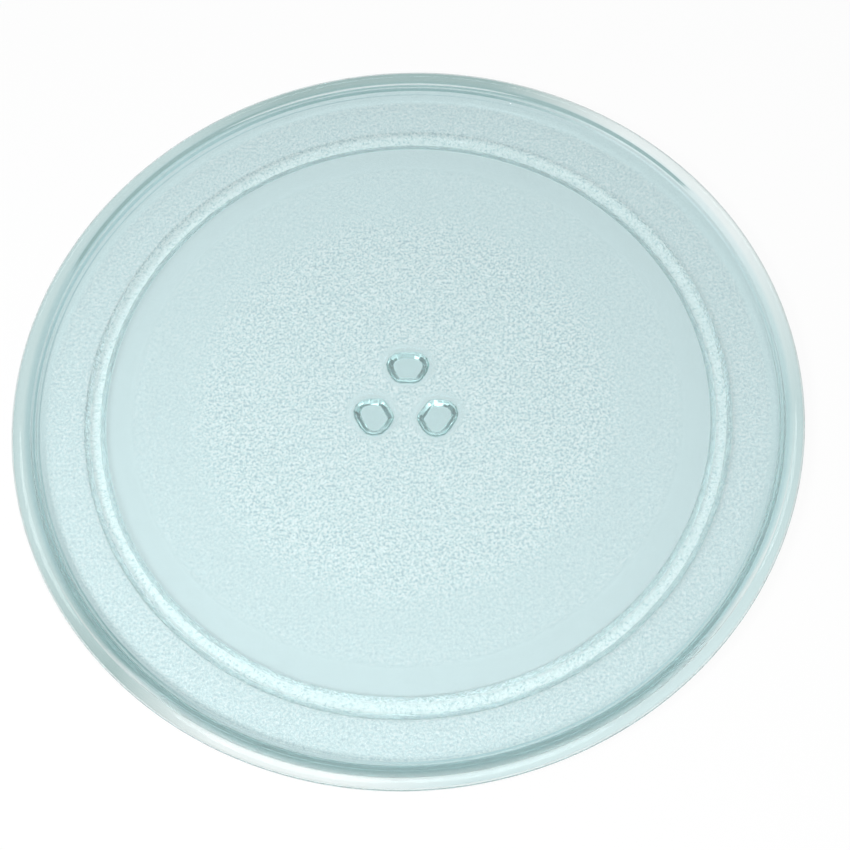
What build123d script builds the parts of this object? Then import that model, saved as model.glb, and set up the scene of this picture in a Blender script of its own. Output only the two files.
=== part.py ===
"""Microwave turntable plate: one pressed-glass tray that turns on a three-arm drive coupler.

Units are millimetres and +Z is up. The axis of turn is Z, and the lug feet stand on z = 0.
"""
import os
from math import radians, tan

from build123d import *

# Overall form
plate_diameter = 325.0
glass_thickness = 5.0
rim_rise = 6.0

# Rim: a sloped wall, thicker at its heel, that ends in a flat lip with a rounded edge
lip_width = 5.9
lip_thickness = 4.0
lip_edge_flat = 0.2
lip_inner_fillet = 2.5
lip_under_width = 5.2
lip_under_fillet = 2.0
wall_slope = 39.0
wall_back_slope = 58.0
wall_foot_fillet = 5.0
wall_heel_fillet = 6.0

# Ring below the floor that keeps the roller carriage on its track
gutter_width = 14.4
ring_foot_width = 9.0
ring_crest_width = 4.0
ring_height = 3.0
ring_crest_fillet = 1.8
ring_root_fillet = 1.5

# Drive lugs below the centre, with room between them for the arms of the coupler
lug_count = 3
lug_first_angle = 90.0
lug_height = 5.5
lug_inner_radius = 10.6
lug_length = 9.3
lug_inner_width = 6.9
lug_side_angle = 30.0
lug_draft = 26.0
lug_outer_corner = 3.6
lug_inner_corner = 1.2
lug_root_fillet = 3.0
lug_foot_fillet = 0.8

# Levels
floor_under = lug_height
floor_top = floor_under + glass_thickness
rim_top = floor_top + rim_rise
lip_under = rim_top - lip_thickness
ring_crest = floor_under - ring_height

# Radii, worked inwards from the rim
rim_radius = plate_diameter / 2
lip_inner_radius = rim_radius - lip_width
wall_foot_radius = lip_inner_radius - rim_rise / tan(radians(wall_slope))
lip_under_radius = rim_radius - lip_under_width
wall_heel_radius = lip_under_radius - (lip_under - floor_under) / tan(radians(wall_back_slope))
lip_edge_fillet = (lip_thickness - lip_edge_flat) / 2
ring_outer_foot = wall_foot_radius - gutter_width
ring_inner_foot = ring_outer_foot - ring_foot_width
ring_side_run = (ring_foot_width - ring_crest_width) / 2

# Corners of the pressed section with their fillets, over the top and back below
section_corners = [
    (wall_foot_radius, floor_top, wall_foot_fillet),
    (lip_inner_radius, rim_top, lip_inner_fillet),
    (rim_radius, rim_top, lip_edge_fillet),
    (rim_radius, lip_under, lip_edge_fillet),
    (lip_under_radius, lip_under, lip_under_fillet),
    (wall_heel_radius, floor_under, wall_heel_fillet),
    (ring_outer_foot, floor_under, ring_root_fillet),
    (ring_outer_foot - ring_side_run, ring_crest, ring_crest_fillet),
    (ring_inner_foot + ring_side_run, ring_crest, ring_crest_fillet),
    (ring_inner_foot, floor_under, ring_root_fillet),
]

with BuildPart() as turntable_plate:
    # Floor, wall, lip and ring, turned from one section
    with BuildSketch(Plane.XZ):
        with BuildLine():
            outline = FilletPolyline(
                (0, floor_top),
                *[(radius, level) for radius, level, _ in section_corners],
                (0, floor_under),
                radius=[corner_fillet for _, _, corner_fillet in section_corners],
            )
            Line(outline @ 1, outline @ 0)
        make_face()
    revolve(axis=Axis.Z)

    # Lug feet, wide on the outside and narrow towards the axis
    with BuildSketch(Plane.XY) as lug_feet:
        with PolarLocations(lug_inner_radius + lug_length / 2, lug_count, start_angle=lug_first_angle):
            Trapezoid(
                lug_inner_width + 2 * lug_length * tan(radians(lug_side_angle)),
                lug_length,
                90 - lug_side_angle,
                rotation=90,
            )
        fillet(lug_feet.vertices().group_by(SortBy.DISTANCE)[-1], lug_outer_corner)
        fillet(lug_feet.vertices().group_by(SortBy.DISTANCE)[0], lug_inner_corner)

    # Lug sides lean out with the mould's draft and blend into the floor
    extrude(amount=lug_height)
    draft(turntable_plate.faces(Select.LAST).filter_by(Axis.Z, reverse=True), Plane.XY, -lug_draft)
    level_edges = turntable_plate.edges().filter_by(Plane.XY)
    lug_outlines = level_edges.filter_by(lambda edge: not edge.is_closed)
    fillet(lug_outlines.group_by(Axis.Z)[-1], lug_root_fillet)
    fillet(turntable_plate.edges().group_by(Axis.Z)[0], lug_foot_fillet)

turntable_plate.part.label = "turntable_plate"

os.makedirs("parts", exist_ok=True)
export_step(turntable_plate.part, "parts/turntable_plate.step")
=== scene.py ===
"""Microwave turntable plate: one pressed-glass tray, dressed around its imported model.

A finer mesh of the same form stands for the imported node, with the stipple that the mould leaves on its
underside. Sizes are in millimetres unless a name says otherwise, and angles in degrees. Meshes are in
metres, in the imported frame.
"""
from __future__ import annotations

import logging
import math
import random
from collections.abc import Iterable, Iterator, Sequence
from dataclasses import dataclass, field
from enum import Enum
from typing import Any, NamedTuple, TypeVar

import bmesh
import bpy
import numpy as np
from mathutils import Matrix, Vector, noise
from mathutils.geometry import delaunay_2d_cdt


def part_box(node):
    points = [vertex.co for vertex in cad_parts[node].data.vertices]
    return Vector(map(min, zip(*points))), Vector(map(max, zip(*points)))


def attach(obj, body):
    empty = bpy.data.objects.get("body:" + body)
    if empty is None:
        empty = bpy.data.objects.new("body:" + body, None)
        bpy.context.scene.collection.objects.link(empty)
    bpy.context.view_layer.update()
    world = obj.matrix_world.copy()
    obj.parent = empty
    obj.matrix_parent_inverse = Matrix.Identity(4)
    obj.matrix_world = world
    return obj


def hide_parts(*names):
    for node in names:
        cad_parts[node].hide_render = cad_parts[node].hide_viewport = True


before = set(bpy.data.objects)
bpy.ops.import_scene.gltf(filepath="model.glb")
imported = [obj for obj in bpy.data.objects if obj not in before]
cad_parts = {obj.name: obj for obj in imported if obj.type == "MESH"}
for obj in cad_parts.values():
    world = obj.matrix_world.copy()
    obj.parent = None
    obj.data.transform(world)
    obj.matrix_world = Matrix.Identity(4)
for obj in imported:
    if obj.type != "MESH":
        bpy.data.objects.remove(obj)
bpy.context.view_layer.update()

MM = 0.001
TINY = 1e-6
NODE = "turntable_plate"
PIECE = "pressed_glass_plate"
BODY = "root"
ARC_STEP = math.radians(6.0)

log = logging.getLogger(NODE)

Item = TypeVar("Item")
Linear = tuple[float, float, float, float]
Tree = bpy.types.NodeTree
Socket = bpy.types.NodeSocket


class Corner(NamedTuple):
    """A corner of an outline: two coordinates and the fillet that rounds it."""

    across: float
    up: float
    fillet: float = 0.0


class PathPoint(NamedTuple):
    """A point of an outline with the normal on the right-hand side of its path."""

    place: Vector
    normal: Vector


class MouldMark(NamedTuple):
    """What the mould leaves at a point of the glass, as shares of each mark.

    Grain is the pebbled texture, crest the painted white glints on the ring's crest, where it gathers
    light, matt the satin back of the wall, and bright the clear polish of the lugs and the roller track.
    """

    grain: float = 0.0
    crest: float = 0.0
    matt: float = 0.0
    bright: float = 0.0


class ShadeBand(NamedTuple):
    """A radius of the plate, and the share of a lamp's light that passes there."""

    radius: float
    share: float


def neighbours(loop: Sequence[Item]) -> Iterator[tuple[Item, Item]]:
    """Pair each item of a closed loop with the next one."""
    return zip(loop, [*loop[1:], loop[0]])


def fillet_arc(corner: Corner, heading_in: Vector, heading_out: Vector, arc_step: float) -> list[PathPoint]:
    """Round a corner of a path.

    Args:
        corner: The corner with its fillet.
        heading_in: The direction in which the path arrives, of length one.
        heading_out: The direction in which it leaves, of length one.
        arc_step: The largest turn between two points, in radians.

    Returns:
        The arc's points in order, or the corner alone where it is sharp.
    """
    turn = math.atan2(heading_in.cross(heading_out), heading_in.dot(heading_out))
    side = math.copysign(1.0, turn)
    left = Vector((-heading_in.y, heading_in.x))
    spot = Vector((corner.across, corner.up))
    start = spot - heading_in * (corner.fillet * math.tan(abs(turn) / 2))
    centre = start + left * (side * corner.fillet)
    steps = max(1, math.ceil(abs(turn) / arc_step - TINY))
    arc = []
    for step in range(steps + 1):
        spoke = left.copy()
        spoke.rotate(Matrix.Rotation(turn * step / steps, 2))
        arc.append(PathPoint(centre - spoke * (side * corner.fillet), -spoke))
    return arc if corner.fillet * abs(turn) > TINY else arc[:1]


def rounded_path(
    corners: Sequence[Corner],
    spacing: float,
    closed: bool = False,
    arc_step: float = ARC_STEP,
) -> list[PathPoint]:
    """Trace straight runs and fillet arcs through a row of corners.

    Args:
        corners: The corners in order. The two ends of an open path stay sharp.
        spacing: The longest step along a straight run.
        closed: True where the last corner leads back to the first.
        arc_step: The largest turn between two points of an arc, in radians.

    Returns:
        The points of the path in order, without a repeat of the first one.
    """
    spots = [Vector((corner.across, corner.up)) for corner in corners]
    count = len(spots)
    arcs = []
    for index, corner in enumerate(corners):
        heading_in = (spots[index] - spots[index - 1]).normalized()
        heading_out = (spots[(index + 1) % count] - spots[index]).normalized()
        if not closed and index == 0:
            heading_in = heading_out
        if not closed and index == count - 1:
            heading_out = heading_in
        arcs.append(fillet_arc(corner, heading_in, heading_out, arc_step))

    path: list[PathPoint] = []
    for index, arc in enumerate(arcs):
        path.extend(arc)
        if index == count - 1 and not closed:
            break
        run_start, run_end = arc[-1], arcs[(index + 1) % count][0]
        pieces = math.ceil((run_end.place - run_start.place).length / spacing)
        for piece in range(1, pieces):
            place = run_start.place.lerp(run_end.place, piece / pieces)
            path.append(PathPoint(place, run_start.normal))
    return path


@dataclass
class GlassSkin:
    """The vertices and faces of one closed skin, gathered part by part."""

    vertices: list[tuple[float, float, float]] = field(default_factory=list)
    faces: list[tuple[int, ...]] = field(default_factory=list)
    marks: dict[int, MouldMark] = field(default_factory=dict)

    def add(self, points: Iterable[Sequence[float]]) -> list[int]:
        """Add points in millimetres.

        Args:
            points: The points' coordinates.

        Returns:
            The points' numbers in the skin.
        """
        first = len(self.vertices)
        self.vertices.extend((x * MM, y * MM, z * MM) for x, y, z in points)
        return list(range(first, len(self.vertices)))

    def mark(self, loop: Sequence[int], mark: MouldMark) -> None:
        """Give all points of a loop the same mark."""
        self.marks.update(dict.fromkeys(loop, mark))

    def bridge(self, loop: Sequence[int], next_loop: Sequence[int]) -> None:
        """Join two closed loops with as many points by a strip of quads.

        Args:
            loop: The numbers of one loop's points.
            next_loop: The numbers of the other loop's points.
        """
        for (here, there), (next_here, next_there) in zip(neighbours(loop), neighbours(next_loop)):
            self.faces.append((here, there, next_there, next_here))

    def fan(self, loop: Sequence[int], hub: int) -> None:
        """Close a loop with triangles that meet at one point.

        Args:
            loop: The numbers of the loop's points.
            hub: The number of the point in its middle.
        """
        for here, there in neighbours(loop):
            self.faces.append((here, there, hub))

    def to_object(self, name: str) -> bpy.types.Object:
        """Make the skin a smooth object with its normals outwards.

        Args:
            name: The name of the object and its mesh.

        Returns:
            The new object, linked to the scene.
        """
        mesh = bpy.data.meshes.new(name)
        mesh.from_pydata(self.vertices, [], self.faces)
        work = bmesh.new()
        work.from_mesh(mesh)
        bmesh.ops.recalc_face_normals(work, faces=work.faces)
        open_edges = sum(not edge.is_manifold for edge in work.edges)
        work.to_mesh(mesh)
        work.free()
        mesh.shade_smooth()
        marks = [self.marks.get(number, MouldMark()) for number in range(len(mesh.vertices))]
        for kind, shares in zip(MouldMark._fields, zip(*marks)):
            mesh.attributes.new(kind, "FLOAT", "POINT").data.foreach_set("value", shares)
        piece = bpy.data.objects.new(name, mesh)
        bpy.context.scene.collection.objects.link(piece)
        if open_edges:
            log.warning("%s: %d open edges", name, open_edges)
        return piece


@dataclass
class PressedSection:
    """The turned section of the plate: floor, sloped wall, lip, and the ring below the floor."""

    rim_radius: float
    rim_top: float
    glass_thickness: float = 5.0
    rim_rise: float = 6.0
    lip_width: float = 5.9
    lip_thickness: float = 4.0
    lip_edge_flat: float = 0.2
    lip_inner_fillet: float = 2.5
    lip_under_width: float = 5.2
    lip_under_fillet: float = 2.0
    wall_slope: float = 39.0
    wall_back_slope: float = 58.0
    wall_foot_fillet: float = 5.0
    wall_heel_fillet: float = 6.0
    gutter_width: float = 14.4
    ring_foot_width: float = 9.0
    ring_crest_width: float = 4.0
    ring_height: float = 3.0
    ring_crest_fillet: float = 1.8
    ring_root_fillet: float = 1.5
    track_width: float = 10.6
    track_clear: float = 0.4
    insert_step: float = 0.04
    insert_run: float = 1.0
    wall_seams: tuple[float, ...] = (3.0, 5.2, 7.4)
    lip_seam: float = 1.7
    seam_depth: float = 0.25
    seam_half: float = 0.45
    matt_from: float = 0.4
    matt_beyond: float = 0.5
    outer_grain: float = 0.5
    crest_depth: float = 0.75
    flank_depth: float = 0.1
    run_spacing: float = 12.0
    turns: int = 300

    @property
    def floor_top(self) -> float:
        """Level of the food face."""
        return self.rim_top - self.rim_rise

    @property
    def floor_under(self) -> float:
        """Level of the floor's underside."""
        return self.floor_top - self.glass_thickness

    @property
    def stipple_level(self) -> float:
        """Level of the stippled floor, a small step above the roller track."""
        return self.floor_under + self.insert_step

    @property
    def widest_level(self) -> float:
        """Level at which the lip's rounded edge reaches furthest out."""
        return self.rim_top - self.lip_thickness / 2

    @property
    def lip_inner_radius(self) -> float:
        """Radius at which the wall meets the flat top of the lip, before its fillet."""
        return self.rim_radius - self.lip_width

    @property
    def lip_under_radius(self) -> float:
        """Radius at which the wall's back meets the underside of the lip, before its fillet."""
        return self.rim_radius - self.lip_under_width

    @property
    def wall_foot_radius(self) -> float:
        """Radius at which the wall leaves the food face, before its fillet."""
        return self.lip_inner_radius - self.rim_rise / math.tan(math.radians(self.wall_slope))

    @property
    def ring_outer_foot(self) -> float:
        """Outer radius of the ring where it leaves the underside."""
        return self.wall_foot_radius - self.gutter_width

    @property
    def ring_inner_foot(self) -> float:
        """Inner radius of the ring where it leaves the underside."""
        return self.ring_outer_foot - self.ring_foot_width

    @property
    def track_inner_radius(self) -> float:
        """Radius at which the smooth roller track meets the stippled floor."""
        return self.ring_inner_foot - self.track_width

    def corners(self) -> list[Corner]:
        """List the corners of the section.

        Returns:
            The corners from the middle of the food face, over the lip, to the stippled floor below.
        """
        lip_under = self.rim_top - self.lip_thickness
        edge_fillet = (self.lip_thickness - self.lip_edge_flat) / 2
        back_run = (lip_under - self.floor_under) / math.tan(math.radians(self.wall_back_slope))
        ring_crest = self.floor_under - self.ring_height
        side_run = (self.ring_foot_width - self.ring_crest_width) / 2
        wall_foot = Corner(self.wall_foot_radius, self.floor_top, self.wall_foot_fillet)
        lip_inner = Corner(self.lip_inner_radius, self.rim_top, self.lip_inner_fillet)
        lip_edge = Corner(self.rim_radius, self.rim_top, edge_fillet)
        return [
            Corner(0.0, self.floor_top),
            wall_foot,
            *(corner for spot in self.wall_seams for corner in self.seam(wall_foot, lip_inner, spot)),
            lip_inner,
            *self.seam(lip_inner, lip_edge, self.lip_seam),
            lip_edge,
            Corner(self.rim_radius, lip_under, edge_fillet),
            Corner(self.lip_under_radius, lip_under, self.lip_under_fillet),
            Corner(self.lip_under_radius - back_run, self.floor_under, self.wall_heel_fillet),
            Corner(self.ring_outer_foot, self.floor_under, self.ring_root_fillet),
            Corner(self.ring_outer_foot - side_run, ring_crest, self.ring_crest_fillet),
            Corner(self.ring_inner_foot + side_run, ring_crest, self.ring_crest_fillet),
            Corner(self.ring_inner_foot, self.floor_under, self.ring_root_fillet),
            Corner(self.track_inner_radius + self.insert_run, self.floor_under),
            Corner(self.track_inner_radius, self.stipple_level),
        ]

    def seam(self, start: Corner, end: Corner, spot: float) -> list[Corner]:
        """Corners of a fine groove that a joint of the mould leaves in a straight run.

        Args:
            start: The corner at which the run starts.
            end: The corner at which the run ends.
            spot: The groove's distance from the start.

        Returns:
            The groove's corners, in the order of the run.
        """
        foot = Vector((start.across, start.up))
        heading = (Vector((end.across, end.up)) - foot).normalized()
        middle = foot + heading * spot
        inwards = Vector((heading.y, -heading.x))
        return [
            Corner(*(middle - heading * self.seam_half)),
            Corner(*(middle + inwards * self.seam_depth)),
            Corner(*(middle + heading * self.seam_half)),
        ]

    def mark_at(self, point: PathPoint) -> MouldMark:
        """Mark of the mould at a point of the section.

        Args:
            point: A point of the turned path. Its normal points into the glass.

        Returns:
            No mark on the polished top, a matt wall back, grain on the ring and in the gutter, and a clear
            roller track.
        """
        if point.normal.y <= 0:
            return MouldMark()
        radius, level = point.place
        if level > self.floor_under + self.matt_from:
            return MouldMark(matt=float(radius < self.lip_under_radius + self.matt_beyond))
        depth = (self.floor_under - level) / self.ring_height
        # The ring's crest gets painted white glints for the light it gathers
        if depth > self.crest_depth:
            return MouldMark(grain=self.outer_grain, crest=1.0)
        if depth > self.flank_depth:
            return MouldMark(grain=1.0)
        if radius > self.ring_outer_foot - self.ring_root_fillet:
            return MouldMark(grain=self.outer_grain)
        return MouldMark(bright=self.track_clear)

    def circle(self, radius: float, level: float) -> list[tuple[float, float, float]]:
        """Points of one turned circle.

        Args:
            radius: The circle's radius.
            level: The circle's height.

        Returns:
            The points, evenly spaced from the X axis.
        """
        angles = [2 * math.pi * turn / self.turns for turn in range(self.turns)]
        return [(radius * math.cos(angle), radius * math.sin(angle), level) for angle in angles]

    def turn_into(self, skin: GlassSkin) -> list[int]:
        """Turn the section into a skin, from the food face to the roller track.

        Args:
            skin: The skin that takes the points and faces.

        Returns:
            The numbers of the last circle's points, at the edge of the stippled floor.
        """
        path = rounded_path(self.corners(), self.run_spacing)
        hub = skin.add([(0.0, 0.0, path[0].place.y)])[0]
        loop = skin.add(self.circle(*path[1].place))
        skin.fan(loop, hub)
        for point in path[2:]:
            next_loop = skin.add(self.circle(*point.place))
            skin.bridge(loop, next_loop)
            skin.mark(next_loop, self.mark_at(point))
            loop = next_loop
        return loop


@dataclass
class DriveLugs:
    """The lugs below the centre: wedge-shaped feet with drafted, filleted sides and faceted corners."""

    height: float
    count: int = 3
    first_angle: float = 90.0
    inner_radius: float = 10.6
    length: float = 9.3
    inner_width: float = 6.9
    side_angle: float = 30.0
    draft: float = 26.0
    outer_corner: float = 3.6
    inner_corner: float = 1.2
    root_fillet: float = 3.0
    foot_fillet: float = 0.8
    foot_margin: float = 1.0
    facet_turn: float = 30.0
    facet_edge: float = 0.15
    facet_spacing: float = 3.0
    flank_spacing: float = 0.9

    def foot_outline(self) -> list[PathPoint]:
        """Outline of one lug's foot on the resting plane, with the lug along the X axis.

        Returns:
            The outline's points, anticlockwise, with their outward normals.
        """
        inner_half = self.inner_width / 2
        outer_half = inner_half + self.length * math.tan(math.radians(self.side_angle))
        outer_radius = self.inner_radius + self.length
        corners = [
            Corner(self.inner_radius, inner_half, self.inner_corner),
            Corner(self.inner_radius, -inner_half, self.inner_corner),
            Corner(outer_radius, -outer_half, self.outer_corner),
            Corner(outer_radius, outer_half, self.outer_corner),
        ]
        facet_turn = math.radians(self.facet_turn)
        facets = rounded_path(corners, self.facet_spacing, closed=True, arc_step=facet_turn)
        # A point close to each edge of a facet keeps it flat, as the mould cuts it, under smooth shading
        outline = []
        for here, there in neighbours(facets):
            edge = self.facet_edge / (there.place - here.place).length
            outline.append(here)
            for share in (edge, 1 - edge):
                place = here.place.lerp(there.place, share)
                outline.append(PathPoint(place, here.normal.lerp(there.normal, share)))
        return outline

    def flank(self) -> list[Vector]:
        """Section of a lug's side, from its foot to the floor.

        Returns:
            Points with the distance outside the foot's outline and the level.
        """
        lean = self.height * math.tan(math.radians(self.draft))
        corners = [
            Corner(-self.foot_margin, 0.0),
            Corner(0.0, 0.0, self.foot_fillet),
            Corner(lean, self.height, self.root_fillet),
            Corner(lean + 2 * self.root_fillet, self.height),
        ]
        path = rounded_path(corners, self.flank_spacing)
        return [point.place for point in path[:-1] if point.place.x <= self.root_reach + TINY]

    @property
    def root_reach(self) -> float:
        """How far the root fillet reaches outside the foot's outline."""
        lean = math.radians(self.draft)
        return self.height * math.tan(lean) + self.root_fillet * math.tan((math.pi / 2 - lean) / 2)

    def press_into(self, skin: GlassSkin) -> list[list[int]]:
        """Raise the lugs in a skin.

        Args:
            skin: The skin that takes the points and faces.

        Returns:
            For each lug, the numbers of the points where it meets the floor.
        """
        outline = self.foot_outline()
        roots = []
        for lug in range(self.count):
            turn = Matrix.Rotation(math.radians(self.first_angle + 360.0 * lug / self.count), 2)
            loop: list[int] = []
            for reach, level in self.flank():
                ring = [turn @ (point.place + point.normal * reach) for point in outline]
                next_loop = skin.add((spot.x, spot.y, level) for spot in ring)
                skin.mark(next_loop, MouldMark(bright=1.0))
                if loop:
                    skin.bridge(loop, next_loop)
                else:
                    skin.faces.append(tuple(next_loop))
                loop = next_loop
            roots.append(loop)
        return roots


@dataclass
class MouldStipple:
    """The pebbled floor between the lugs and the roller track, as cut into the mould."""

    # Grains and pebbles are drawn a little coarser than real ones, so that they show
    grain: float = 1.0
    scatter: float = 0.22
    pebble: float = 1.9
    depth: float = 0.28
    outer_share: float = 0.32
    strong_radius: float = 74.0
    faint_radius: float = 96.0
    edge_fade: float = 2.0
    merge_gap: float = 1e-7
    seed: int = 7

    def lattice(self, radius: float) -> np.ndarray:
        """Scatter the grains over a disc.

        Args:
            radius: The disc's radius.

        Returns:
            The grains' places, one row each.
        """
        rng = random.Random(self.seed)
        row_step = self.grain * math.sqrt(3) / 2
        rows = math.ceil(radius / row_step)
        columns = math.ceil(radius / self.grain)
        spots = []
        for row in range(-rows, rows + 1):
            for column in range(-columns, columns + 1):
                x = (column + 0.5 * (row % 2)) * self.grain + rng.uniform(-self.scatter, self.scatter)
                y = row * row_step + rng.uniform(-self.scatter, self.scatter)
                spots.append((x, y))
        spots = np.array(spots)
        return spots[np.hypot(*spots.T) < radius - self.grain / 2]

    def strength(self, spots: np.ndarray, clearance: np.ndarray) -> np.ndarray:
        """Strength of the stipple at each grain.

        Args:
            spots: The grains' places, one row each.
            clearance: Each grain's distance from the edge of the stipple.

        Returns:
            Shares of the stipple's full depth.
        """
        radius = np.hypot(*spots.T)
        fade = np.clip((self.faint_radius - radius) / (self.faint_radius - self.strong_radius), 0, 1)
        share = self.outer_share + (1 - self.outer_share) * fade * fade * (3 - 2 * fade)
        return share * np.clip(clearance / self.edge_fade, 0, 1)

    def fill(self, skin: GlassSkin, rim: list[int], lugs: list[list[int]], level: float) -> None:
        """Fill the floor between the lugs and the track with stipple.

        Args:
            skin: The skin that takes the points and faces.
            rim: The numbers of the points at the edge of the track.
            lugs: For each lug, the numbers of the points where it meets the floor.
            level: The level of the stippled floor.
        """
        places = np.array(skin.vertices)[:, :2] / MM
        radius = np.hypot(*places[rim[0]])
        spots = self.lattice(radius)
        clearance = radius - np.hypot(*spots.T)
        # A lug's outline bulges all round, so the side that a grain lies furthest beyond gives its distance
        for lug in lugs:
            hull = places[lug]
            ahead = np.roll(hull, -1, axis=0) - hull
            outward = np.column_stack([ahead[:, 1], -ahead[:, 0]])
            outward /= np.linalg.norm(outward, axis=1, keepdims=True)
            gap = (spots @ outward.T - np.einsum("ij,ij->i", hull, outward)).max(axis=1)
            clearance = np.minimum(clearance, gap)
        kept = clearance > self.grain / 2
        spots = spots[kept]
        shares = self.strength(spots, clearance[kept])
        grains = skin.add(
            (x, y, level + self.depth * share * noise.noise((x / self.pebble, y / self.pebble, self.seed)))
            for (x, y), share in zip(spots, shares)
        )
        skin.marks.update((number, MouldMark(grain=share)) for number, share in zip(grains, shares))

        # Triangles between the grains and the edges, without those that would cap a lug
        edges = [rim, *lugs]
        edge_points = [number for edge in edges for number in edge]
        numbers = [*grains, *edge_points]
        order = {number: here for here, number in enumerate(numbers)}
        fixed = [(order[here], order[there]) for edge in edges for here, there in neighbours(edge)]
        flat = [Vector(spot) for spot in (*spots, *places[edge_points])]
        whole_hull = 0
        triangles = delaunay_2d_cdt(flat, fixed, [], whole_hull, self.merge_gap, False)[2]
        inside_lugs = [{order[number] for number in lug} for lug in lugs]
        for triangle in triangles:
            if not any(lug.issuperset(triangle) for lug in inside_lugs):
                skin.faces.append(tuple(numbers[corner] for corner in triangle))


def linear(hex_colour: str) -> Linear:
    """Turn an sRGB hex colour into linear light.

    Args:
        hex_colour: Six hex digits after a hash.

    Returns:
        Linear red, green and blue, with full alpha.
    """
    shares = [int(hex_colour[start:start + 2], 16) / 255 for start in (1, 3, 5)]
    red, green, blue = (
        share / 12.92 if share <= 0.04045 else ((share + 0.055) / 1.055) ** 2.4 for share in shares
    )
    return red, green, blue, 1.0


def grey(share: float) -> Linear:
    """Linear grey of a given share of light, with full alpha."""
    return share, share, share, 1.0


def add_node(
    tree: Tree,
    kind: str,
    inputs: dict[str | int, Any] | None = None,
    **settings: Any,
) -> bpy.types.Node:
    """Add a node with its settings and links.

    Args:
        tree: The node tree that takes the node.
        kind: The node's type in Blender.
        inputs: A value, or an output to link from, for each input by name or number.
        **settings: The node's own properties.

    Returns:
        The new node.
    """
    node = tree.nodes.new(kind)
    for name, value in settings.items():
        setattr(node, name, value)
    for key, value in (inputs or {}).items():
        if isinstance(value, Socket):
            tree.links.new(value, node.inputs[key])
        else:
            node.inputs[key].default_value = value
    return node


def set_stops(ramp: bpy.types.Node, stops: Sequence[tuple[float, Linear]]) -> None:
    """Set the stops of a colour ramp.

    Args:
        ramp: The ramp's node.
        stops: Each stop's place on the ramp and its colour, in order.
    """
    elements = ramp.color_ramp.elements
    while len(elements) < len(stops):
        elements.new(1.0)
    for element, (spot, colour) in zip(elements, stops):
        element.position = spot
        element.color = colour


def new_tree(owner: bpy.types.Material | bpy.types.World) -> Tree:
    """Give a material or world an empty node tree.

    Args:
        owner: The material or world.

    Returns:
        Its node tree.
    """
    owner.use_nodes = True
    owner.node_tree.nodes.clear()
    return owner.node_tree


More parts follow.
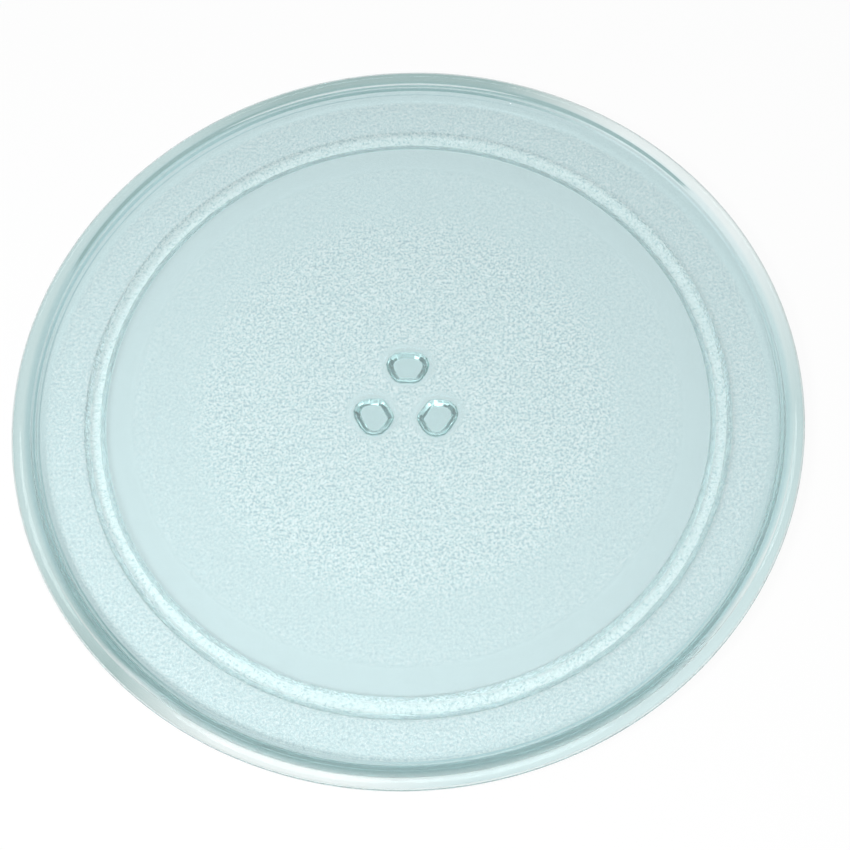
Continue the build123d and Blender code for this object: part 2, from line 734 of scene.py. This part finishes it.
@dataclass(frozen=True)
class PressedGlass:
    """Tempered soda-lime glass, pressed in a mould and fire-polished."""

    section: PressedSection
    name: str = "pressed_soda_lime_glass"
    depth_tint: str = "#95F2EC"
    density: float = 14.0
    ior: float = 1.52
    clarity: float = 0.85
    bright_clarity: float = 0.97
    # Painted shade in the grain's hollows and painted highlight on its crests
    hollow_shade: str = "#A2BFC4"
    plain: str = "#D5E7EA"
    crest: str = "#FFFFFF"
    # Paler tint painted on the lip, a painted brightening
    lip: str = "#F4FAFA"
    # Grain and flecks are drawn a little coarser than real ones, so that they show
    grain: float = 1.1
    grain_detail: float = 3.0
    grain_roughness: float = 0.6
    grain_depth: float = 0.3
    grain_contrast: float = 0.13
    # Painted white glints: flecks over the grain and specks on the ring's crest
    fleck: float = 1.0
    fleck_from: float = 0.62
    fleck_full: float = 0.68
    speck_from: float = 0.37
    speck_full: float = 0.57
    lip_blend: tuple[float, float] = (-0.5, 1.0)
    wave: float = 45.0
    wave_roughness: float = 0.03
    matt_roughness: float = 0.22
    # Shares of a lamp's light that pass
    plain_pass: float = 0.97
    lug_pass: float = 0.85
    lug_zone: float = 40.0
    flank_foot_pass: float = 0.45
    flank_head_pass: float = 0.55
    crest_pass: float = 1.35
    band_lip_depth: float = 2.2
    band_blend: tuple[float, float] = (0.02, 0.12)

    def material(self) -> bpy.types.Material:
        """Make the glass.

        Returns:
            The finished material.
        """
        # Clear and nearly colourless where it is thin, with a blue-green cast that deepens along the wall
        # and the lugs, a hard gloss on the fire-polished top, and a pebbled underside with painted shade
        # and glints
        material = bpy.data.materials.new(self.name)
        tree = new_tree(material)
        place = add_node(tree, "ShaderNodeTexCoord").outputs["Object"]
        axes = add_node(tree, "ShaderNodeSeparateXYZ", {0: place})
        flat = add_node(tree, "ShaderNodeCombineXYZ", {"X": axes.outputs["X"], "Y": axes.outputs["Y"]})
        distance = add_node(tree, "ShaderNodeVectorMath", {0: flat.outputs[0]}, operation="LENGTH")
        radius = distance.outputs["Value"]
        grain, crest, matt, bright = (
            add_node(tree, "ShaderNodeAttribute", attribute_name=kind).outputs["Fac"]
            for kind in MouldMark._fields
        )
        pebbles = add_node(
            tree,
            "ShaderNodeTexNoise",
            {
                "Vector": place,
                "Scale": 1 / (self.grain * MM),
                "Detail": self.grain_detail,
                "Roughness": self.grain_roughness,
            },
        ).outputs[0]
        centred = add_node(tree, "ShaderNodeMath", {0: pebbles, 1: 0.5}, operation="SUBTRACT")
        relief = add_node(tree, "ShaderNodeMath", {0: centred.outputs[0], 1: grain}, operation="MULTIPLY")
        bump = add_node(
            tree,
            "ShaderNodeBump",
            {"Distance": self.grain_depth * MM, "Height": relief.outputs[0]},
        )
        # Share of painted white glints
        white = self.painted_glints(tree, place, pebbles, grain, crest)
        clear = add_node(
            tree,
            "ShaderNodeMapRange",
            {"Value": bright, "To Min": self.clarity, "To Max": self.bright_clarity},
        )
        glass = add_node(
            tree,
            "ShaderNodeBsdfPrincipled",
            {
                "Base Color": self.tint_with_painted_light(tree, relief.outputs[0], white, radius),
                "Roughness": self.polish(tree, place, matt),
                "IOR": self.ior,
                "Transmission Weight": clear.outputs[0],
                "Normal": bump.outputs[0],
            },
        )
        depth_tint = add_node(
            tree,
            "ShaderNodeVolumeAbsorption",
            {"Color": linear(self.depth_tint), "Density": self.density},
        )
        surface = self.with_soft_shadow(tree, glass.outputs[0], radius, axes.outputs["Z"])
        add_node(tree, "ShaderNodeOutputMaterial", {"Surface": surface, "Volume": depth_tint.outputs[0]})
        return material

    def painted_glints(
        self,
        tree: Tree,
        place: Socket,
        pebbles: Socket,
        grain: Socket,
        crest: Socket,
    ) -> Socket:
        """Paint white glints over the grain, and specks of painted light over the ring's crest.

        Args:
            tree: The material's node tree.
            place: The place on the plate.
            pebbles: The noise of the grain.
            grain: The share of grain.
            crest: The share of the ring's crest, where glints are painted.

        Returns:
            The output with the share of painted white glints.
        """
        # Painted glints: single pits of the mould are painted as white flecks, for the light they catch
        glint_spots = add_node(
            tree,
            "ShaderNodeTexNoise",
            {"Vector": place, "Scale": 1 / (self.fleck * MM), "Detail": 0.0},
        )
        flecks = add_node(
            tree,
            "ShaderNodeMapRange",
            {"Value": glint_spots.outputs[0], "From Min": self.fleck_from, "From Max": self.fleck_full},
        )
        flecked = add_node(tree, "ShaderNodeMath", {0: flecks.outputs[0], 1: grain}, operation="MULTIPLY")
        # Painted light: the ring's crest gathers light, painted as white specks where the mould is grained
        specks = add_node(
            tree,
            "ShaderNodeMapRange",
            {"Value": pebbles, "From Min": self.speck_from, "From Max": self.speck_full},
        )
        speckled = add_node(tree, "ShaderNodeMath", {0: crest, 1: specks.outputs[0]}, operation="MULTIPLY")
        white = add_node(
            tree,
            "ShaderNodeMath",
            {0: speckled.outputs[0], 1: flecked.outputs[0]},
            operation="MAXIMUM",
        )
        return white.outputs[0]

    def tint_with_painted_light(self, tree: Tree, relief: Socket, white: Socket, radius: Socket) -> Socket:
        """Tint the surface by its grain, with painted shade in the hollows and painted highlight on the
        crests.

        Args:
            tree: The material's node tree.
            relief: The height of the grain.
            white: The share of painted white glints.
            radius: The distance from the axis.

        Returns:
            The output with the colour.
        """
        # Painted shade and highlight: light slips sideways off the pebbles' flanks, so hollows are painted
        # greyer and crests brighter
        spread = add_node(
            tree,
            "ShaderNodeMapRange",
            {"Value": relief, "From Min": -self.grain_contrast, "From Max": self.grain_contrast},
        )
        grained = add_node(tree, "ShaderNodeValToRGB", {0: spread.outputs[0]})
        stops = [(0.0, linear(self.hollow_shade)), (0.5, linear(self.plain)), (1.0, linear(self.crest))]
        set_stops(grained, stops)
        specked = add_node(
            tree,
            "ShaderNodeMix",
            {0: white, 6: grained.outputs[0], 7: linear(self.crest)},
            data_type="RGBA",
        )
        # The lip is painted paler than the floor, a painted brightening of the rim
        start, full = ((self.section.lip_inner_radius + reach) * MM for reach in self.lip_blend)
        polished = add_node(
            tree,
            "ShaderNodeMapRange",
            {"Value": radius, "From Min": start, "From Max": full},
        )
        tint = add_node(
            tree,
            "ShaderNodeMix",
            {0: polished.outputs[0], 6: specked.outputs[2], 7: linear(self.lip)},
            data_type="RGBA",
        )
        return tint.outputs[2]

    def polish(self, tree: Tree, place: Socket, matt: Socket) -> Socket:
        """Dull the polish a little in broad patches, and more on the back of the wall.

        Args:
            tree: The material's node tree.
            place: The place on the plate.
            matt: The share of the matt wall back.

        Returns:
            The output with the roughness.
        """
        patches = add_node(tree, "ShaderNodeTexNoise", {"Vector": place, "Scale": 1 / (self.wave * MM)})
        polish = add_node(
            tree,
            "ShaderNodeMath",
            {0: patches.outputs[0], 1: self.wave_roughness},
            operation="MULTIPLY",
        )
        dulled = add_node(
            tree,
            "ShaderNodeMath",
            {0: matt, 1: self.matt_roughness, 2: polish.outputs[0]},
            operation="MULTIPLY_ADD",
        )
        return dulled.outputs[0]

    def shade_bands(self) -> list[ShadeBand]:
        """Share of a lamp's light that passes at each radius of the lugs, the ring and the lip.

        Returns:
            Bands from the axis outwards. Flanks throw light aside and crests gather it.
        """
        ring_inner, ring_outer = self.section.ring_inner_foot, self.section.ring_outer_foot
        ring_middle = (ring_inner + ring_outer) / 2
        lip_inner, rim = self.section.lip_inner_radius, self.section.rim_radius
        return [
            # Lugs
            ShadeBand(0.0, self.lug_pass),
            ShadeBand(self.lug_zone, self.lug_pass),
            ShadeBand(self.lug_zone + 1.0, self.plain_pass),
            # Ring: two flanks with the crest between them
            ShadeBand(ring_inner - 0.5, self.plain_pass),
            ShadeBand(ring_inner + 1.0, self.flank_foot_pass),
            ShadeBand(ring_inner + 2.4, self.flank_head_pass),
            ShadeBand(ring_middle - 1.0, self.crest_pass),
            ShadeBand(ring_middle + 1.0, self.crest_pass),
            ShadeBand(ring_outer - 2.4, self.flank_head_pass),
            ShadeBand(ring_outer - 1.0, self.flank_foot_pass),
            ShadeBand(ring_outer + 0.5, self.plain_pass),
            # Lip: dark at its two edges with a bright line between them
            ShadeBand(lip_inner - 1.0, self.plain_pass),
            ShadeBand(lip_inner + 0.5, 0.35),
            ShadeBand(rim - 3.2, 0.30),
            ShadeBand(rim - 2.6, 0.75),
            ShadeBand(rim - 1.8, 0.75),
            ShadeBand(rim - 1.0, 0.15),
            ShadeBand(rim, 0.05),
        ]

    def with_soft_shadow(self, tree: Tree, surface: Socket, radius: Socket, level: Socket) -> Socket:
        """Let lamps through the glass, less so where its curved parts throw their light aside.

        Args:
            tree: The material's node tree.
            surface: The glass as the eye meets it.
            radius: The distance from the axis.
            level: The height above the floor.

        Returns:
            The output with both.
        """
        section = self.section
        rays = add_node(tree, "ShaderNodeLightPath")
        lamp_ray = add_node(
            tree,
            "ShaderNodeMath",
            {0: rays.outputs["Is Shadow Ray"], 1: rays.outputs["Is Diffuse Ray"]},
            operation="MAXIMUM",
        )
        share = add_node(tree, "ShaderNodeMapRange", {"Value": radius, "From Max": section.rim_radius * MM})
        bands = add_node(tree, "ShaderNodeValToRGB", {0: share.outputs[0]})
        stops = [(band.radius / section.rim_radius, grey(band.share)) for band in self.shade_bands()]
        set_stops(bands, stops)
        # Bands lie on the lip's top and on the ring and lugs, not on the plain faces between
        plain_top = section.rim_top - self.band_lip_depth
        middle = (section.floor_under + plain_top) / 2
        reach = (plain_top - section.floor_under) / 2
        off_middle = add_node(tree, "ShaderNodeMath", {0: level, 1: middle * MM}, operation="SUBTRACT")
        away = add_node(tree, "ShaderNodeMath", {0: off_middle.outputs[0]}, operation="ABSOLUTE")
        start, full = ((reach + blend) * MM for blend in self.band_blend)
        banded = add_node(
            tree,
            "ShaderNodeMapRange",
            {"Value": away.outputs[0], "From Min": start, "From Max": full},
        )
        passed = add_node(
            tree,
            "ShaderNodeMix",
            {0: banded.outputs[0], 6: grey(self.plain_pass), 7: bands.outputs[0]},
            data_type="RGBA",
        )
        through = add_node(tree, "ShaderNodeBsdfTransparent", {"Color": passed.outputs[2]})
        mixed = add_node(
            tree,
            "ShaderNodeMixShader",
            {0: lamp_ray.outputs[0], 1: surface, 2: through.outputs[0]},
        )
        return mixed.outputs[0]


@dataclass
class TurntablePlate:
    """The whole plate: turned section, drive lugs and stippled floor in one closed skin."""

    section: PressedSection
    lugs: DriveLugs
    stipple: MouldStipple
    finish: PressedGlass

    @classmethod
    def from_frame(cls) -> TurntablePlate:
        """Take the plate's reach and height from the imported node.

        Returns:
            A plate that stays within the node's box.
        """
        low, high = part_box(NODE)
        rim_radius = min(-low.x, -low.y, high.x, high.y) / MM
        section = PressedSection(rim_radius=rim_radius, rim_top=high.z / MM)
        return cls(section, DriveLugs(height=section.stipple_level), MouldStipple(), PressedGlass(section))

    def build(self) -> bpy.types.Object:
        """Build the plate's mesh.

        Returns:
            The plate as one object.
        """
        skin = GlassSkin()
        track_edge = self.section.turn_into(skin)
        lug_roots = self.lugs.press_into(skin)
        self.stipple.fill(skin, track_edge, lug_roots, self.section.stipple_level)
        return skin.to_object(PIECE)

    def dress(self, piece: bpy.types.Object) -> None:
        """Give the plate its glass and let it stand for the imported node.

        Args:
            piece: The plate's object.
        """
        piece.data.materials.append(self.finish.material())
        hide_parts(NODE)
        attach(piece, BODY)


class BackgroundRay(Enum):
    """Kinds of ray that see the floor as a white background."""

    CAMERA = "Is Camera Ray"
    GLOSSY = "Is Glossy Ray"
    TRANSMISSION = "Is Transmission Ray"


class ShadeTone(Enum):
    """Tones of the painted shadow and painted light around the plate."""

    DARK_SHADE = "#8AACAA"
    GREY = "#C2D9DA"
    PALE = "#D8ECEE"
    WHITE = "#FFFFFF"


def share_of_rays(tree: Tree, shares: dict[BackgroundRay, float]) -> Socket:
    """Add up a share for each kind of ray that meets a shader.

    Args:
        tree: The node tree.
        shares: The share for each kind of ray.

    Returns:
        The output with the share for the ray at hand.
    """
    rays = add_node(tree, "ShaderNodeLightPath")
    total: Socket | float = 0.0
    for kind, share in shares.items():
        seen = add_node(
            tree,
            "ShaderNodeMath",
            {0: rays.outputs[kind.value], 1: share, 2: total},
            operation="MULTIPLY_ADD",
            use_clamp=True,
        )
        total = seen.outputs[0]
    return total


@dataclass(frozen=True)
class MattBoard:
    """White board with a rolled coat of matt paint."""

    name: str = "matt_white_board"
    colour: str = "#F4F5F5"
    camera_share: float = 0.93
    glass_share: float = 0.2

    def material(self) -> bpy.types.Material:
        """Make the board.

        Returns:
            The finished material.
        """
        # Even and without shine, so the eye takes it for empty background with a faint shadow on it
        material = bpy.data.materials.new(self.name)
        tree = new_tree(material)
        shares = {
            BackgroundRay.CAMERA: self.camera_share,
            BackgroundRay.GLOSSY: self.glass_share,
            BackgroundRay.TRANSMISSION: self.glass_share,
        }
        board = add_node(tree, "ShaderNodeBsdfDiffuse", {"Color": linear(self.colour)})
        white = add_node(tree, "ShaderNodeEmission", {"Strength": 1.0})
        mixed = add_node(
            tree,
            "ShaderNodeMixShader",
            {0: share_of_rays(tree, shares), 1: board.outputs[0], 2: white.outputs[0]},
        )
        add_node(tree, "ShaderNodeOutputMaterial", {"Surface": mixed.outputs[0]})
        return material


@dataclass(frozen=True)
class PaintedShadowRing:
    """Glowing tones in a ring around the plate, painted shadow and painted light, darkest beyond it."""

    name: str = "painted_shadow_ring"
    inner: float = 156.5
    dark_shade_inner: float = 169.0
    edge: float = 0.6
    # Painted shadow where the rim should look dark, painted light where it should look white
    tones: tuple[tuple[float, ShadeTone], ...] = (
        (-180.0, ShadeTone.GREY),
        (-155.0, ShadeTone.GREY),
        (-132.0, ShadeTone.DARK_SHADE),
        (-114.0, ShadeTone.WHITE),
        (-96.0, ShadeTone.WHITE),
        (-80.0, ShadeTone.PALE),
        (-40.0, ShadeTone.PALE),
        (0.0, ShadeTone.GREY),
        (30.0, ShadeTone.WHITE),
        (55.0, ShadeTone.WHITE),
        (78.0, ShadeTone.DARK_SHADE),
        (112.0, ShadeTone.DARK_SHADE),
        (132.0, ShadeTone.GREY),
        (180.0, ShadeTone.GREY),
    )

    def material(self) -> bpy.types.Material:
        """Make the painted shadow ring, clear inside.

        Returns:
            The finished material.
        """
        # Painted shadow and painted light: flat glowing tones that the eye only meets as the light and dark
        # bands in the glass of the rim
        material = bpy.data.materials.new(self.name)
        tree = new_tree(material)
        place = add_node(tree, "ShaderNodeTexCoord").outputs["Object"]
        radius = add_node(tree, "ShaderNodeVectorMath", {0: place}, operation="LENGTH").outputs["Value"]
        covered, beyond = (
            add_node(
                tree,
                "ShaderNodeMapRange",
                {"Value": radius, "From Min": start * MM, "From Max": (start + self.edge) * MM},
            )
            for start in (self.inner, self.dark_shade_inner)
        )
        around = add_node(tree, "ShaderNodeTexGradient", {0: place}, gradient_type="RADIAL")
        tones = add_node(tree, "ShaderNodeValToRGB", {0: around.outputs["Fac"]})
        set_stops(tones, [((azimuth + 180) / 360, linear(tone.value)) for azimuth, tone in self.tones])
        tone = add_node(
            tree,
            "ShaderNodeMix",
            {0: beyond.outputs[0], 6: tones.outputs[0], 7: linear(ShadeTone.DARK_SHADE.value)},
            data_type="RGBA",
        )
        seen = add_node(tree, "ShaderNodeEmission", {"Color": tone.outputs[2]})
        clear = add_node(tree, "ShaderNodeBsdfTransparent")
        mixed = add_node(
            tree,
            "ShaderNodeMixShader",
            {0: covered.outputs[0], 1: clear.outputs[0], 2: seen.outputs[0]},
        )
        add_node(tree, "ShaderNodeOutputMaterial", {"Surface": mixed.outputs[0]})
        return material


@dataclass(frozen=True)
class SoftLamp:
    """A round lamp that faces the middle of the plate."""

    name: str
    azimuth: float
    elevation: float
    size_m: float
    power: float
    glints: bool = False
    distance_m: float = 0.75

    def build(self) -> bpy.types.Object:
        """Add the lamp, which either lights the scene or only shows through the glass as glints.

        Returns:
            The lamp.
        """
        light = bpy.data.lights.new(self.name, "AREA")
        light.shape = "DISK"
        light.size = self.size_m
        light.energy = self.power
        around, above = math.radians(self.azimuth), math.radians(self.elevation)
        level = Vector((math.cos(around), math.sin(around), 0.0)) * math.cos(above)
        way = level + Vector((0.0, 0.0, math.sin(above)))
        lamp = bpy.data.objects.new(self.name, light)
        lamp.location = way * self.distance_m
        lamp.rotation_euler = (-way).to_track_quat("-Z", "Y").to_euler()
        lamp.visible_glossy = False
        lamp.visible_diffuse = not self.glints
        lamp.visible_transmission = self.glints
        bpy.context.scene.collection.objects.link(lamp)
        return lamp


@dataclass
class Studio:
    """A pale floor under a soft dome, with lamps and a glowing ring of painted shadow and light that draws
    the rim.
    """

    floor_radius_m: float = 3.0
    floor_gap: float = 0.05
    board: MattBoard = MattBoard()
    shadow_ring_radius: float = 184.0
    shadow_ring_offset: float = 5.0
    shadow_ring: PaintedShadowRing = PaintedShadowRing()
    disc_segments: int = 128
    horizon: str = "#7C8386"
    overhead: str = "#FFFFFF"
    dome_rise: tuple[float, float] = (0.05, 0.75)
    dome_level: float = 0.45
    dome_seen: float = 1.0
    lamps: tuple[SoftLamp, ...] = (
        SoftLamp("key_lamp", azimuth=-118.0, elevation=60.0, size_m=0.16, power=4.4),
        SoftLamp("near_right_glint", azimuth=-60.0, elevation=75.0, size_m=0.3, power=0.9, glints=True),
        SoftLamp("near_left_glint", azimuth=-138.0, elevation=72.0, size_m=0.3, power=0.9, glints=True),
        SoftLamp("far_right_glint", azimuth=23.0, elevation=50.0, size_m=0.3, power=0.9, glints=True),
        SoftLamp("far_left_glint", azimuth=165.0, elevation=50.0, size_m=0.3, power=0.9, glints=True),
    )

    def disc(self, name: str, radius_m: float, material: bpy.types.Material) -> bpy.types.Object:
        """Cut a flat disc around the plate's axis.

        Args:
            name: The name of the disc and its mesh.
            radius_m: The disc's radius in metres.
            material: What the disc is made of.

        Returns:
            The new object, linked to the scene.
        """
        mesh = bpy.data.meshes.new(name)
        work = bmesh.new()
        bmesh.ops.create_circle(work, cap_ends=True, segments=self.disc_segments, radius=radius_m)
        work.to_mesh(mesh)
        work.free()
        mesh.materials.append(material)
        disc = bpy.data.objects.new(name, mesh)
        bpy.context.scene.collection.objects.link(disc)
        return disc

    def floor(self) -> bpy.types.Object:
        """Lay the floor just below the lugs' feet, white to the camera with the plate's shadow on it.

        Returns:
            The floor.
        """
        floor = self.disc("studio_floor", self.floor_radius_m, self.board.material())
        floor.location.z = -self.floor_gap * MM
        return floor

    def painted_shadow_disc(self) -> bpy.types.Object:
        """Lay a glowing ring of painted shadow and light around the plate, which only shows through the
        glass and draws its rim.

        Returns:
            The ring, as one disc.
        """
        shadow_disc = self.disc("painted_shadow_disc", self.shadow_ring_radius * MM, self.shadow_ring.material())
        shadow_disc.location = (0.0, self.shadow_ring_offset * MM, -self.floor_gap / 2 * MM)
        shadow_disc.visible_camera = False
        shadow_disc.visible_diffuse = False
        shadow_disc.visible_shadow = False
        return shadow_disc

    def dome(self) -> bpy.types.World:
        """Light the scene from a dome that is bright overhead and darker at the horizon.

        Returns:
            The world that holds the dome.
        """
        world = bpy.data.worlds.new("studio_dome")
        bpy.context.scene.world = world
        tree = new_tree(world)
        place = add_node(tree, "ShaderNodeTexCoord")
        axes = add_node(tree, "ShaderNodeSeparateXYZ", {0: place.outputs["Generated"]})
        low, high = self.dome_rise
        height = add_node(
            tree,
            "ShaderNodeMapRange",
            {"Value": axes.outputs["Z"], "From Min": low, "From Max": high},
        )
        colour = add_node(
            tree,
            "ShaderNodeMix",
            {0: height.outputs[0], 6: linear(self.horizon), 7: linear(self.overhead)},
            data_type="RGBA",
        )
        seen = share_of_rays(tree, {kind: 1.0 for kind in BackgroundRay})
        level = add_node(
            tree,
            "ShaderNodeMapRange",
            {"Value": seen, "To Min": self.dome_level, "To Max": self.dome_seen},
        )
        light = add_node(
            tree,
            "ShaderNodeBackground",
            {"Color": colour.outputs[2], "Strength": level.outputs[0]},
        )
        add_node(tree, "ShaderNodeOutputWorld", {"Surface": light.outputs[0]})
        return world

    def build(self) -> list[bpy.types.ID]:
        """Set up the floor, the painted shadow ring, the dome, the lamps and the plain view transform.

        Returns:
            The pieces of the studio.
        """
        bpy.context.scene.view_settings.view_transform = "Standard"
        return [self.floor(), self.painted_shadow_disc(), self.dome(), *(lamp.build() for lamp in self.lamps)]


@dataclass
class PhotoCamera:
    """The camera at the photograph's viewing angle, for an image of 850 by 850 pixels."""

    rim_level: float
    image_px: float = 850.0
    rim_centre_px: tuple[float, float] = (405.4, 390.5)
    px_per_mm: float = 2.425
    distance: float = 580.0
    elevation: float = 65.2
    azimuth: float = 5.9
    roll: float = 4.36
    sensor: float = 36.0

    def build(self) -> bpy.types.Object:
        """Place the camera so that the middle of the rim falls on its pixel.

        Returns:
            The camera.
        """
        around, above = math.radians(self.azimuth), math.radians(self.elevation)
        level = Vector((-math.sin(around), math.cos(around), 0.0)) * math.cos(above)
        forward = level - Vector((0.0, 0.0, math.sin(above)))
        level_right = forward.cross(Vector((0, 0, 1))).normalized()
        right = Matrix.Rotation(math.radians(self.roll), 3, forward) @ level_right
        up = right.cross(forward)
        offset = right * (self.rim_centre_px[0] - self.image_px / 2)
        offset += up * (self.image_px / 2 - self.rim_centre_px[1])
        eye = Vector((0, 0, self.rim_level)) - forward * self.distance - offset / self.px_per_mm

        lens = bpy.data.cameras.new("photo_camera")
        lens.sensor_width = self.sensor
        lens.lens = self.sensor * self.px_per_mm * self.distance / self.image_px
        camera = bpy.data.objects.new("photo_camera", lens)
        turn = Matrix((right, up, -forward)).transposed().to_4x4()
        camera.matrix_world = Matrix.Translation(eye * MM) @ turn
        bpy.context.scene.collection.objects.link(camera)
        bpy.context.scene.camera = camera
        return camera


def main() -> None:
    """Build the plate, the studio and the camera in order, and report each piece."""
    logging.basicConfig(level=logging.INFO, format="%(message)s")
    plate = TurntablePlate.from_frame()
    piece = plate.build()
    plate.dress(piece)
    triangles = sum(len(face.vertices) - 2 for face in piece.data.polygons)
    log.info("%s: %d triangles of %s", piece.name, triangles, plate.finish.name)
    for prop in Studio().build():
        log.info("%s: set up", prop.name)
    camera = PhotoCamera(plate.section.widest_level).build()
    log.info("%s: %.0f mm lens", camera.name, camera.data.lens)


if __name__ == "__main__":
    main()
